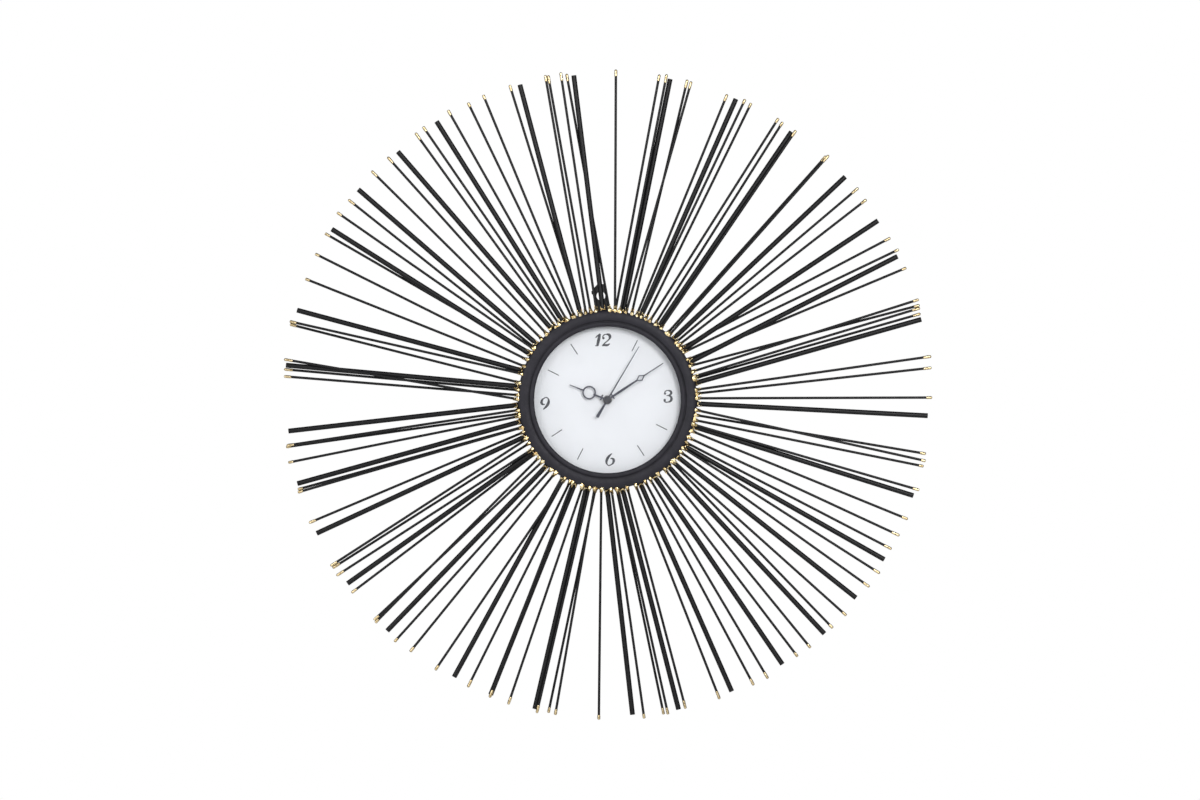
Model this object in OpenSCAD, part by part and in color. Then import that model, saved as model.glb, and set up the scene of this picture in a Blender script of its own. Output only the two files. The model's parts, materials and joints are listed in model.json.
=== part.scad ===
// Sunburst wall clock: a battery quartz clock in a round drum, with steel wires and rods
// brazed round the drum as a burst of rays.
//
// World frame: origin at the middle of the nail hole at the wall, +Z up, the dial faces -Y.
// Each module is written in the clock's own frame, which starts on the hands' axis and is
// seen from the front: x right, y up and z out of the wall. The module upright() turns that
// frame into the world frame.
// Hour and ray angles run clockwise from twelve, in degrees.

/* [Sunburst] */
// Radius of the circle that the gold tips reach
burst_r = 408; // [390:1:420]
// Height of the burst circle's centre above the hands' axis
burst_rise = 6.4; // [0:0.1:9]
// Distance of that centre to the left of the hands' axis
burst_left = 0.1; // [0:0.1:2]
// How much shorter the thick rods are than the gold tips
rod_short = 4; // [2:0.5:8]
// Greatest difference in length between hand-cut rays
cut_scatter = 2.4; // [0:0.2:3]
// Diameter of a thin wire
wire_d = 3.2; // [2.6:0.1:3.3]
// Diameter of a thick rod
rod_d = 6.3; // [5:0.1:6.4]
// Diameter of a gold tip
gold_d = 3.8; // [3.4:0.1:4]
// Usual length of a gold tip
gold_l = 8.5; // [6:0.5:10]
// How much longer or shorter than that a tip can be
gold_vary = 2.5; // [0:0.1:3]
// Radius of the braze bead at the foot of a wire
wire_bead_r = 3.1; // [2.8:0.1:3.2]
// Radius of the braze bead at the foot of a rod
rod_bead_r = 4.2; // [3.9:0.1:4.4]

/* [Drum and bezel] */
// Outer radius of the drum's steel hoop
hoop_r = 110; // [109.5:0.1:110.4]
// Outer radius of the bezel
bezel_r = 111.5; // [111.2:0.1:112.5]
// Radius of the opening in the bezel
sight_r = 91.3; // [90:0.1:92]
// Front of the bezel above the wall
bezel_front = 42; // [41.6:0.1:43]
// Thickness of the lens
lens_t = 2; // [1.6:0.1:2]

/* [Dial] */
// How far the dial is turned anticlockwise
dial_twist = 3.3; // [0:0.1:6]
// Radius to the middle of the numerals
numeral_r = 75.5; // [74:0.5:77]
// Inner radius of the hour ticks
tick_in = 68; // [66:0.5:72]
// Outer radius of the hour ticks
tick_out = 83.5; // [80:0.5:88]
// Width of an hour tick
tick_w = 1.1; // [0.6:0.1:1.4]

/* [Hands] */
// Angle of the hour hand
hour_angle = 291.6; // [0:0.1:360]
// Angle of the minute hand
minute_angle = 56.55; // [0:0.05:360]
// Angle of the second hand
second_angle = 30.65; // [0:0.05:360]
// Reach of the hour hand
hour_l = 50.9; // [46:0.1:60]
// Reach of the minute hand
minute_l = 82.7; // [70:0.1:88]
// Reach of the second hand
second_l = 77.3; // [70:0.1:88]

/* [Hanger] */
// Height of the nail hole above the hands' axis
nail_rise = 130.7; // [128:0.1:134]
// Distance of the nail hole to the left of the hands' axis
nail_left = 8.2; // [0:0.1:10]
// Radius of the nail hole
nail_hole_r = 5.5; // [3:0.1:6]

/* [Hidden] */
$fn = 96;
bar_facets = 32;
eps = 0.01;
running = 0.06;          // radial clearance of a running fit
layer_gap = 0.5;         // space between two layers of rays
foot_gap = 0.6;          // braze-filled space between the hoop and a ray's end

// The hanger points from the hands' axis to the nail hole
nail_r = norm([nail_left, nail_rise]);
hanger_lean = atan2(nail_left, nail_rise);
hanger_t = 1.6;
hanger_w = 15.6;
hanger_foot = 80;        // distance of its inner end from the hands' axis
hanger_top = 14.8;       // how far it goes on beyond the nail hole
hanger_clip = 4;         // what is cut off its top corners
rivet_rows = [86, 94];
rivet_r = 1.55;

// Depths above the wall, from back to front
pad_t = 2;
plate_t = 1.2;
rods_z = 21;
front_z = rods_z + rod_d / 2 + layer_gap + wire_d / 2;
rear_z = rods_z - rod_d / 2 - layer_gap - wire_d / 2;
skirt_z = front_z + wire_bead_r + 0.3;
ledge_z = 24.7;
ledge_t = 2;
dial_z = ledge_z + ledge_t;
dial_t = 1;
dial_face = dial_z + dial_t;
ink_t = 0.15;
hour_hand_z = 31.7;
minute_hand_z = 33;
second_hand_z = 34.6;
hand_t = 0.45;
lens_z = 36.5;
lens_front = lens_z + lens_t;
lens_lip = 1.2;          // how far the bezel reaches down round the lens

// Radii inside the drum
hoop_wall = 2;
hoop_in = hoop_r - hoop_wall;
dial_r = 101;
lens_r = 96;
post_ring_r = hoop_in - 3.3;
post_r = 2.6;
lug_ring_r = hoop_in - 4.8;
lug_r = 5.2;
pad_ring_r = 97;
pad_r = 7;
screw_r = 1.25;
pilot_r = 1.3;
head_r = 2.7;
head_t = 1.8;

// Quartz movement: outer box, wall and the shelf between the train and the battery
box_w = 56;
wall_t = 1;
box_back = 10;
box_front = dial_z - 0.5;
cover_t = 1;
cell_shelf_y = -11.9;
cell_r = 7.25;
cell_y = -19.5;
cell_z = 17.75;
cell_l = 50.5;
cavity_z = box_front - wall_t;
rotor_post_z = 18.6;
bush_r = 4;
hour_tube_r = 2.5;
minute_tube_r = 1.6;
arbor_r = 0.5;
third_pivot_r = 0.6;
rotor_pivot_r = 0.4;
setting_r = 1;
magnet_r = 2.2;
coil_y = 22.2;

// Teeth. The rotor turns once a second and the seconds wheel once a minute; the third wheel
// steps down to the centre wheel, once an hour, and the minute work to the hour wheel.
pinion_n = 8;
intermediate_n = 48;
seconds_n = 40;
third_n = 60;
centre_n = 64;
cannon_n = 12;
minute_work_n = 36;
work_pinion_n = 10;
hour_n = 40;

// Tooth sizes. Two meshes share each pair of axes, so their modules follow the distance.
third_dist = 11.88;
intermediate_dist = 9.6;
rotor_dist = 8.4;
work_dist = 12.48;
seconds_m = 2 * intermediate_dist / (pinion_n + seconds_n);
rotor_m = 2 * rotor_dist / (pinion_n + intermediate_n);
third_m = 2 * third_dist / (pinion_n + third_n);
centre_m = 2 * third_dist / (pinion_n + centre_n);
cannon_m = 2 * work_dist / (cannon_n + minute_work_n);
hour_m = 2 * work_dist / (work_pinion_n + hour_n);

// Directions from one axis to the next, anticlockwise from x, and the axes themselves
third_dir = 155;
intermediate_dir = 75;
rotor_dir = 40;
work_dir = 15;
function polar(r, a) = [r * cos(a), r * sin(a)];
hands_axis = [0, 0];
third_axis = polar(third_dist, third_dir);
intermediate_axis = polar(intermediate_dist, intermediate_dir);
rotor_axis = intermediate_axis + polar(rotor_dist, rotor_dir);
work_axis = polar(work_dist, work_dir);

// Phase of a gear, the angle of one of its teeth, that puts it in mesh with a mate whose
// phase is known. dir is the direction from the mate's axis to this gear's axis.
function meshed(mate_phase, mate_n, n, dir) = dir + 180 + (180 - (mate_phase - dir) * mate_n) / n;
third_phase = meshed(0, pinion_n, third_n, third_dir);
centre_phase = meshed(0, pinion_n, centre_n, third_dir + 180);
work_phase = meshed(0, cannon_n, minute_work_n, work_dir);
hour_phase = meshed(0, work_pinion_n, hour_n, work_dir + 180);
intermediate_phase = meshed(0, seconds_n, pinion_n, intermediate_dir);
rotor_phase = meshed(0, intermediate_n, pinion_n, rotor_dir);

// Heights of the wheels inside the movement
intermediate_wheel_z = 12.4;
seconds_wheel_z = 14.2;
stator_z = 15.8;
third_wheel_z = 17;
centre_wheel_z = 19;
work_wheel_z = 20.6;
hour_wheel_z = 23.2;
wheel_t = 0.8;

// Each ray is [angle of its foot on the hoop, angle of its tip on the burst circle].
// Crossing or crowded wires are shared out between the front and the rear layer.
front_wires = [
    [4.9, 1.5], [8.25, 10.5], [12, 15], [22.5, 25], [28.25, 31.75], [36.75, 35.5],
    [43.75, 42.75], [52.5, 53], [58, 63.5], [71.6, 73], [74.9, 74.5], [83.5, 83.25],
    [89, 90.5], [96.5, 101.75], [106, 107], [115, 115.75], [122.5, 123.25],
    [132.75, 132.75], [140.5, 141.25], [151.75, 150.5], [161.75, 159.75],
    [173.25, 169.25], [177.5, 173.5], [188.25, 189.25], [191.5, 192.5], [203, 201.25],
    [208.25, 212], [219.25, 220.75], [226.5, 226], [236.75, 236.25], [244.25, 238.25],
    [252, 252.5], [259.5, 258], [263.5, 261], [270.25, 276.25], [287, 283],
    [296.5, 295.75], [304.5, 304], [312.75, 313.5], [324.5, 323.75], [333, 330.75],
    [338.5, 337.5], [346, 349], [353, 351.75]
];
rear_wires = [
    [5, 9.25], [15.75, 14.25], [19, 21.75], [25.25, 26.25], [32.25, 32.75], [42, 42.5],
    [50, 50.5], [54.5, 61], [63.25, 67], [67.5, 74], [76.25, 75.5], [86, 85.25],
    [99.8, 100.5], [103.1, 102.75], [110.25, 112.5], [118.5, 118.5], [125.5, 126.25],
    [133.75, 136], [145.5, 144], [155.25, 153.25], [167.25, 166], [174.25, 170],
    [184, 181.5], [187.5, 190.5], [196, 197.75], [204.5, 205.5], [215.5, 217.5],
    [230, 225.5], [233.25, 232.25], [241, 237.75], [249, 246.75], [252.25, 253],
    [261, 260.75], [273, 273.25], [276.25, 274.5], [281, 282.5], [292, 291],
    [301.75, 299.75], [305.5, 307], [317.25, 317.25], [327.5, 325.5], [336.75, 334.5],
    [342.75, 342.5], [349.25, 349.5], [1.6, 352.75]
];
thick_rods = [
    [10, 11.25], [21.5, 23.5], [35, 35], [47.25, 47.5], [56.5, 57.25], [65.5, 64.5],
    [79.25, 76.5], [92.5, 93.75], [107.25, 108.25], [121, 120.75], [129, 129.25],
    [137.5, 137.75], [148.5, 147], [158.5, 157.25], [170.5, 167.25], [180.25, 175.5],
    [193.5, 193], [201.25, 201.25], [209.5, 208.5], [222.75, 223], [235, 234],
    [246, 244.5], [256, 254], [266.75, 263.5], [278.75, 275.25], [289, 285.25],
    [300.5, 301], [308.25, 309.5], [321.75, 319.25], [330.25, 328], [342.5, 344.25],
    [357.2, 354]
];

// ---- helpers ----

// Stands the clock's own frame up in the world, with the nail hole at the origin
module upright() { translate([nail_left, 0, -nail_rise]) rotate([90, 0, 0]) children(); }

// Turns its children to a clock angle
module clock(angle) { rotate([0, 0, -angle]) children(); }

// Copies of its children at several clock angles, pushed out to a radius
module around(angles, r) {
    for (a = angles) clock(a) translate([0, r, 0]) children();
}

function on_hoop(foot) = [hoop_r * sin(foot), hoop_r * cos(foot)];
function on_burst(tip, r) = [r * sin(tip) - burst_left, r * cos(tip) + burst_rise];

// How much is cut off the i-th ray of a list, and how long its gold tip is
function cut(i) = cut_scatter * (0.5 - 0.5 * sin(i * 137.5));
function tip_length(i) = gold_l + gold_vary * sin(i * 77);

// Lays its children's z axis along a ray, starting at the hoop
module on_ray(ray, tip_r, z) {
    start = on_hoop(ray[0]);
    run = on_burst(ray[1], tip_r) - start;
    translate([start[0], start[1], z])
        rotate([0, 0, atan2(run[1], run[0])]) rotate([0, 90, 0]) children();
}
function ray_length(ray, tip_r) = norm(on_burst(ray[1], tip_r) - on_hoop(ray[0]));

// Bars that run from the hoop to the rays' ends, or only to their gold tips
module round_bars(rays, tip_r, d, z, tipped) {
    for (i = [0:len(rays) - 1]) {
        reach = tip_r - cut(i);
        bar_l = ray_length(rays[i], reach) - (tipped ? tip_length(i) : 0) - foot_gap;
        on_ray(rays[i], reach, z)
            translate([0, 0, foot_gap]) cylinder(h = bar_l, d = d, $fn = bar_facets);
    }
}

// A gold cap: a short bar with a domed end
module gold_cap(length) {
    r = gold_d / 2;
    dome = [for (a = [0:30:90]) [r * cos(a), length - r + r * sin(a)]];
    rotate_extrude($fn = bar_facets) polygon(concat([[0, 0], [r, 0]], dome));
}
module gold_caps(rays, z) {
    for (i = [0:len(rays) - 1]) {
        reach = burst_r - cut(i);
        on_ray(rays[i], reach, z)
            translate([0, 0, ray_length(rays[i], reach) - tip_length(i)])
                gold_cap(tip_length(i));
    }
}

// Round beads that join the rays' feet to the hoop
module beads(rays, r, z) {
    centre_r = hoop_r + 0.55 * r;
    for (ray = rays) clock(ray[0]) translate([0, centre_r, z]) sphere(r = r, $fn = bar_facets);
}

// A ring with a rectangular section
module ring(r_out, r_in, z0, z1) {
    rotate_extrude() translate([r_in, z0]) square([r_out - r_in, z1 - z0]);
}

// Cubic curve through p[0] and p[3], pulled by p[1] and p[2]
function curve(p, t) =
    let (s = 1 - t)
    s * s * s * p[0] + 3 * s * s * t * p[1] + 3 * s * t * t * p[2] + t * t * t * p[3];
function heading(p, t) =
    let (s = 1 - t, d = s * s * (p[1] - p[0]) + 2 * s * t * (p[2] - p[1]) + t * t * (p[3] - p[2]))
    d / norm(d);

// One pen stroke along a curve: narrow at both ends and wide in the middle
module stroke(p, ends, belly) {
    steps = 10;
    function half(t) = (ends + (belly - ends) * sin(180 * t)) / 2;
    function side(t, s) = curve(p, t) + s * half(t) * [-heading(p, t)[1], heading(p, t)[0]];
    left = [for (i = [0:steps]) side(i / steps, 1)];
    right = [for (i = [steps:-1:0]) side(i / steps, -1)];
    polygon(concat(left, right));
}
module dot(x, y, r) { translate([x, y]) circle(r = r, $fn = 24); }

// ---- gears ----

// Cycloidal gear, as clocks use: radial flanks below the pitch circle and epicycloids
// above it, rolled by a circle half the size of the mate. fill is the share of the half
// pitch that a tooth takes, so two meshed gears keep some backlash.
function tooth(n, m, mate_n, fill, rise, drop) =
    let (
        pitch_r = n * m / 2,
        roll_r = mate_n * m / 4,
        half = 90 / n * fill,
        steps = 2,
        flank = [for (k = [0:steps])
            let (
                r = pitch_r + rise * m * k / steps,
                reach = pitch_r + roll_r,
                rolled = acos(min(1, (reach * reach + roll_r * roll_r - r * r) / (2 * roll_r * reach))),
                turn = roll_r / pitch_r * rolled,
                x = reach * cos(turn) - roll_r * cos(reach / roll_r * turn),
                y = reach * sin(turn) - roll_r * sin(reach / roll_r * turn)
            ) [r, atan2(y, x) - half]]
    )
    concat([[pitch_r - drop * m, -half]], flank);

module gear(n, m, mate_n, fill, rise, drop, h, phase) {
    side = tooth(n, m, mate_n, fill, rise, drop);
    last = len(side) - 1;
    whole = concat(side, [for (k = [last:-1:0]) [side[k][0], -side[k][1]]]);
    linear_extrude(h)
        polygon([for (i = [0:n - 1], p = whole) polar(p[0], p[1] + phase + i * 360 / n)]);
}
module wheel(n, m, mate_n, h, phase) { gear(n, m, mate_n, 0.95, 1, 1.1, h, phase); }
module pinion(n, m, mate_n, h, phase) {
    gear(n, m, mate_n, n > 9 ? 0.82 : 0.68, n > 9 ? 0.8 : 0.6, 1.25, h, phase);
}

// Round windows that lighten a wheel
module windows(count, ring_r, r, h) {
    for (i = [0:count - 1])
        rotate([0, 0, i * 360 / count]) translate([ring_r, 0, -eps])
            cylinder(h = h + 2 * eps, r = r);
}

// ---- sunburst ----

module hoop() {
    color("#232326") difference() {
        union() {
            ring(hoop_r, hoop_in, pad_t, 33);
            ring(hoop_in + 0.5, 97.5, ledge_z, dial_z);
            for (a = [0:90:270])
                clock(a) translate([0, lug_ring_r, pad_t + plate_t]) cylinder(h = 7, r = lug_r);
        }
        around([45:90:315], post_ring_r)
            translate([0, 0, ledge_z - eps]) cylinder(h = ledge_t + 2 * eps, r = 1.7);
        around([0:90:270], lug_ring_r) cylinder(h = 12, r = pilot_r);
    }
}
module front_wires() { color("#1c1c1e") round_bars(front_wires, burst_r, wire_d, front_z, true); }
module rear_wires() { color("#1c1c1e") round_bars(rear_wires, burst_r, wire_d, rear_z, true); }
module thick_rods() {
    color("#222224") round_bars(thick_rods, burst_r - rod_short, rod_d, rods_z, false);
}
module front_gold_tips() { color("#d9bd84") gold_caps(front_wires, front_z); }
module rear_gold_tips() { color("#d9bd84") gold_caps(rear_wires, rear_z); }
module front_braze() { color("#c9a254") beads(front_wires, wire_bead_r, front_z); }
module middle_braze() { color("#c9a254") beads(thick_rods, rod_bead_r, rods_z); }
module rear_braze() { color("#c9a254") beads(rear_wires, wire_bead_r, rear_z); }

// ---- bezel, lens and dial ----

// Section of the bezel: a broad convex band, a groove and a narrow round bead at the lens
module bezel_section() {
    groove_out = 98.9;
    bead_out = 97;
    bead_top = bezel_front - 0.9;
    groove_z = bezel_front - 3.7;
    skirt_in = hoop_r + 0.15;
    under_z = lens_front - lens_lip;
    band_curve = [
        [bezel_r, bezel_front - 4.6], [bezel_r - 0.4, bezel_front - 0.6],
        [103.5, bezel_front + 0.6], [groove_out, bezel_front - 1.3]
    ];
    bead_curve = [
        [bead_out, bead_top - 0.8], [bead_out - 1, bead_top + 0.6],
        [sight_r + 1.2, bead_top + 0.2], [sight_r, bead_top - 1.5]
    ];
    band = [for (t = [0:0.1:1]) curve(band_curve, t)];
    bead = [for (t = [0:0.125:1]) curve(bead_curve, t)];
    polygon(concat(
        [[skirt_in, skirt_z], [bezel_r, skirt_z]], band,
        [[groove_out, groove_z], [bead_out, groove_z]], bead,
        [[sight_r, lens_front], [lens_r + 0.3, lens_front], [lens_r + 0.3, under_z],
         [skirt_in, under_z]]
    ));
}
module bezel() {
    under_z = lens_front - lens_lip;
    color("#38373c") difference() {
        union() {
            rotate_extrude($fn = 180) bezel_section();
            around([45:90:315], post_ring_r)
                translate([0, 0, dial_z]) cylinder(h = under_z - dial_z + 0.3, r = post_r, $fn = 32);
        }
        around([45:90:315], post_ring_r)
            translate([0, 0, dial_z - eps]) cylinder(h = 7, r = pilot_r, $fn = 32);
    }
}
module bezel_screws() {
    color("#8d8f94") around([45:90:315], post_ring_r) translate([0, 0, ledge_z]) {
        cylinder(h = 7, r = screw_r, $fn = 32);
        pan_head();
    }
}
// A screw head below z = 0, with a cross slot
module pan_head() {
    difference() {
        translate([0, 0, -head_t]) cylinder(h = head_t, r = head_r, $fn = 32);
        for (a = [0, 90])
            rotate([0, 0, a]) translate([-1.6, -0.35, -head_t - eps]) cube([3.2, 0.7, 0.9]);
    }
}
module lens() {
    color("#dfe8ee", 0.35)
        translate([0, 0, lens_z]) cylinder(h = lens_t, r = lens_r, $fn = 180);
}
module lens_spacer() { color("#1f1f22") ring(dial_r - 1, sight_r + 3, dial_face, lens_z); }
module dial() {
    color("#eceef2") difference() {
        translate([0, 0, dial_z]) cylinder(h = dial_t, r = dial_r, $fn = 180);
        translate([0, 0, dial_z - eps]) cylinder(h = dial_t + 2 * eps, r = bush_r + 0.1);
    }
}

// Italic numerals, about 15 high with the baseline at y = 0
module one() {
    stroke([[5.5, 14.8], [4.2, 10.4], [3.2, 5], [1.6, 0.9]], 2.9, 3.7);
    stroke([[0.1, 10.4], [1.6, 12.6], [3.6, 13], [6, 15.2]], 1.3, 1.7);
    stroke([[-1.4, 0.3], [0.4, 0.7], [2, -0.2], [3.4, 1]], 0.7, 1.5);
}
module two() {
    dot(2.5, 10.6, 1.5);
    stroke([[1.5, 10.8], [1.6, 13.6], [4, 15.6], [6.9, 15.1]], 1, 1.4);
    stroke([[6.2, 15.1], [11.3, 15.6], [12.2, 11.2], [8.9, 8.2]], 1.4, 3.7);
    stroke([[9.6, 9.1], [7.4, 6.2], [4, 5], [1.3, 1.7]], 1.8, 1.4);
    stroke([[0.3, 0.9], [3.6, 3.2], [6.8, -0.4], [9.9, 3.4]], 1.4, 2.8);
}
module three() {
    dot(3.2, 11.7, 1.4);
    stroke([[2.4, 12], [3, 14.4], [5, 15.8], [7.2, 15.3]], 1, 1.3);
    stroke([[6.6, 15.3], [12.6, 15.4], [12.2, 9.6], [6.8, 9]], 1.2, 3);
    stroke([[4.8, 8.9], [6, 9.2], [7, 9.1], [8.2, 8.8]], 0.8, 1.3);
    stroke([[6.9, 9], [12.9, 8.4], [12, 0.6], [6, 0.9]], 1.2, 3.2);
    stroke([[6.6, 0.9], [4.6, 0.5], [2.2, 0.9], [1.3, 2.8]], 1.2, 1.6);
    dot(2.3, 3.6, 1.5);
}
module six() {
    stroke([[8.9, 15.2], [3.2, 11.8], [-0.8, 5.4], [2.4, 1.4]], 1.1, 3.4);
    stroke([[1.9, 2.1], [2.9, 0.1], [5.4, 0.1], [7.3, 1.7]], 1.3, 1.4);
    stroke([[6.6, 1.1], [11.7, 3.4], [12, 10.2], [6.4, 9]], 1.1, 3.2);
}
// Puts a numeral's middle at its hour, upright on the dial
module at_hour(hour, middle) {
    place = polar(numeral_r, 90 - 30 * hour);
    translate([place[0] - middle[0], place[1] - middle[1], dial_face]) linear_extrude(ink_t) children();
}
module dial_numerals() {
    color("#3a3a42") clock(-dial_twist) {
        at_hour(12, [10.3, 7.6]) one();
        at_hour(12, [3.1, 8.8]) two();
        at_hour(3, [6.4, 8]) three();
        at_hour(6, [7, 7]) six();
        at_hour(9, [7.7, 7.3]) translate([11.2, 15.2]) rotate(180) six();
    }
}
module hour_ticks() {
    color("#55555c") clock(-dial_twist)
        for (hour = [1, 2, 4, 5, 7, 8, 10, 11])
            clock(30 * hour) translate([-tick_w / 2, tick_in, dial_face])
                cube([tick_w, tick_out - tick_in, ink_t]);
}

// ---- back of the drum ----

module back_plate() {
    window = 64;
    corner = 6;
    color("#1d1d1f") difference() {
        translate([0, 0, pad_t]) cylinder(h = plate_t, r = hoop_in - 0.2);
        translate([0, 0, pad_t - eps]) linear_extrude(plate_t + 2 * eps) union() {
            square([window, window - 2 * corner], center = true);
            square([window - 2 * corner, window], center = true);
            for (x = [-1, 1], y = [-1, 1])
                translate([x, y] * (window / 2 - corner)) circle(r = corner);
        }
        around([0:90:270], lug_ring_r) cylinder(h = 12, r = 1.6);
        rivet_holes();
    }
}
module back_plate_screws() {
    color("#8d8f94") around([0:90:270], lug_ring_r) translate([0, 0, pad_t]) {
        cylinder(h = 6, r = screw_r, $fn = 32);
        pan_head();
    }
}
module wall_pads() {
    color("#3b3b3d") around([45:90:315], pad_ring_r) cylinder(h = pad_t, r = pad_r);
}
// Holes for the hanger's rivets, through every plate at the back
module rivet_holes() {
    clock(-hanger_lean)
        for (r = rivet_rows) translate([0, r, 0]) cylinder(h = 12, r = rivet_r + 0.05);
}
// Room in the hanger for the head of the topmost back plate screw
module screw_head_room() { translate([0, lug_ring_r, 0]) cylinder(h = 3, r = head_r + 0.4); }
module hanger_plate() {
    half = hanger_w / 2;
    top = nail_r + hanger_top;
    color("#1b1b1d") difference() {
        clock(-hanger_lean) translate([0, 0, pad_t - hanger_t]) difference() {
            linear_extrude(hanger_t) polygon([
                [-half, hanger_foot], [half, hanger_foot], [half, top - hanger_clip],
                [half - hanger_clip, top], [hanger_clip - half, top], [-half, top - hanger_clip]
            ]);
            translate([0, nail_r, -eps]) cylinder(h = hanger_t + 2 * eps, r = nail_hole_r);
        }
        rivet_holes();
        screw_head_room();
    }
}
module hanger_rivets() {
    color("#77797d") clock(-hanger_lean) for (r = rivet_rows) translate([0, r, 0]) {
        translate([0, 0, pad_t - hanger_t])
            cylinder(h = hanger_t + plate_t, r = rivet_r, $fn = 32);
        translate([0, 0, pad_t + plate_t]) cylinder(h = 1.2, r = 2.8, $fn = 32);
    }
}

// ---- movement: case and fixings ----

// Moves its children to an axis of the train, at a height
module on_axis(axis, z) { translate([axis[0], axis[1], z]) children(); }

// A blind or through hole for a pivot of radius r, with running room
module pivot_hole(axis, r, z, depth) {
    on_axis(axis, z) cylinder(h = depth, r = r + running, $fn = 32);
}

module movement_case() {
    inner = box_w - 2 * wall_t;
    rim_z = box_back + cover_t;
    color("#2c2c30") difference() {
        union() {
            difference() {
                translate([-box_w / 2, -box_w / 2, rim_z])
                    cube([box_w, box_w, box_front - rim_z]);
                translate([-inner / 2, -inner / 2, box_back])
                    cube([inner, inner, cavity_z - box_back]);
            }
            // shelf between the train and the cell, and a post for the rotor's front pivot
            translate([-inner / 2 - eps, cell_shelf_y, rim_z])
                cube([inner + 2 * eps, 0.8, cavity_z - rim_z + eps]);
            on_axis(rotor_axis, rotor_post_z)
                cylinder(h = cavity_z - rotor_post_z + eps, r = 1.2, $fn = 32);
        }
        on_axis(hands_axis, cavity_z - eps) cylinder(h = 3, r = bush_r + 0.02);
        pivot_hole(rotor_axis, rotor_pivot_r, rotor_post_z - 0.6, 2);
        pivot_hole(third_axis, third_pivot_r, cavity_z - eps, 0.7);
        pivot_hole(work_axis, third_pivot_r, cavity_z - eps, 0.7);
    }
}
module movement_cover() {
    half = box_w / 2;
    cup_z = box_back + cover_t;
    color("#303034") difference() {
        union() {
            translate([-half, -half, box_back]) cube([box_w, box_w, cover_t]);
            for (axis = [hands_axis, third_axis, rotor_axis])
                on_axis(axis, cup_z - eps) cylinder(h = 0.8, r = 1.6, $fn = 32);
            on_axis(intermediate_axis, cup_z - eps) cylinder(h = 1.1, r = 1.6, $fn = 32);
        }
        // window over the cell
        translate([-26.6, -27.2, box_back - eps]) cube([53.2, 15, cover_t + 2 * eps]);
        pivot_hole(hands_axis, arbor_r, box_back + 0.5, 3);
        pivot_hole(third_axis, third_pivot_r, box_back + 0.5, 3);
        pivot_hole(rotor_axis, rotor_pivot_r, box_back + 0.5, 3);
        pivot_hole(work_axis, setting_r, box_back - eps, 2);
        on_axis(intermediate_axis, box_back + 0.4) cylinder(h = 3, r = arbor_r, $fn = 32);
    }
}
module threaded_bush() {
    color("#c8a24a") difference() {
        union() {
            translate([0, 0, box_front - wall_t - 0.7]) cylinder(h = 0.7, r = 6);
            translate([0, 0, box_front - wall_t - eps]) cylinder(h = 6.2, r = bush_r);
        }
        translate([0, 0, box_front - 3]) cylinder(h = 10, r = hour_tube_r + running);
    }
}
module bush_nut() {
    color("#c8a24a") translate([0, 0, dial_face + 0.5]) difference() {
        cylinder(h = 2.4, r = 5.2, $fn = 6);
        translate([0, 0, -eps]) cylinder(h = 3, r = bush_r);
    }
}
module steel_washer() { color("#9a9ca0") ring(6, bush_r + 0.1, dial_face, dial_face + 0.5); }
module rubber_washer() { color("#1a1a1a") ring(9, bush_r + 0.1, box_front, dial_z); }

// ---- movement: gear train ----

module rotor_pinion() {
    color("#e8e4da") {
        on_axis(rotor_axis, box_back + 0.6) cylinder(h = 8.9, r = rotor_pivot_r, $fn = 32);
        on_axis(rotor_axis, intermediate_wheel_z - 0.3)
            pinion(pinion_n, rotor_m, intermediate_n, 1.4, rotor_phase);
    }
}
module rotor_magnet() {
    color("#4a4a50") on_axis(rotor_axis, 0) ring(magnet_r, rotor_pivot_r, 14.6, 17.8);
}
module intermediate_wheel() {
    pinion_l = seconds_wheel_z + 1.2 - intermediate_wheel_z - wheel_t;
    color("#e8e4da") on_axis(intermediate_axis, intermediate_wheel_z) difference() {
        union() {
            wheel(intermediate_n, rotor_m, pinion_n, wheel_t, 0);
            translate([0, 0, wheel_t - eps])
                pinion(pinion_n, seconds_m, seconds_n, pinion_l, intermediate_phase);
        }
        translate([0, 0, -eps]) cylinder(h = 5, r = arbor_r + running, $fn = 32);
        windows(4, 4.3, 1.6, wheel_t);
    }
}
module intermediate_stud() {
    color("#b9bcc2") on_axis(intermediate_axis, box_back + 0.4)
        cylinder(h = 5.2, r = arbor_r, $fn = 32);
}
module seconds_wheel() {
    color("#e8e4da") difference() {
        union() {
            translate([0, 0, seconds_wheel_z]) wheel(seconds_n, seconds_m, pinion_n, wheel_t, 0);
            translate([0, 0, seconds_wheel_z + wheel_t - eps])
                pinion(pinion_n, third_m, third_n, 3.2, 0);
        }
        translate([0, 0, seconds_wheel_z - eps]) cylinder(h = 6, r = arbor_r, $fn = 32);
        translate([0, 0, seconds_wheel_z]) windows(4, 4.6, 1.9, wheel_t);
    }
}
module seconds_arbor() {
    color("#b9bcc2") translate([0, 0, box_back + 0.6]) cylinder(h = 24.6, r = arbor_r, $fn = 32);
}
module third_wheel() {
    color("#e8e4da") on_axis(third_axis, third_wheel_z) difference() {
        union() {
            wheel(third_n, third_m, pinion_n, wheel_t, third_phase);
            translate([0, 0, wheel_t - eps]) pinion(pinion_n, centre_m, centre_n, 2.6, 0);
        }
        translate([0, 0, -eps]) cylinder(h = 6, r = third_pivot_r, $fn = 32);
        windows(5, 6, 2.2, wheel_t);
    }
}
module third_arbor() {
    color("#b9bcc2") on_axis(third_axis, box_back + 0.6)
        cylinder(h = 15.1, r = third_pivot_r, $fn = 32);
}
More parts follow.
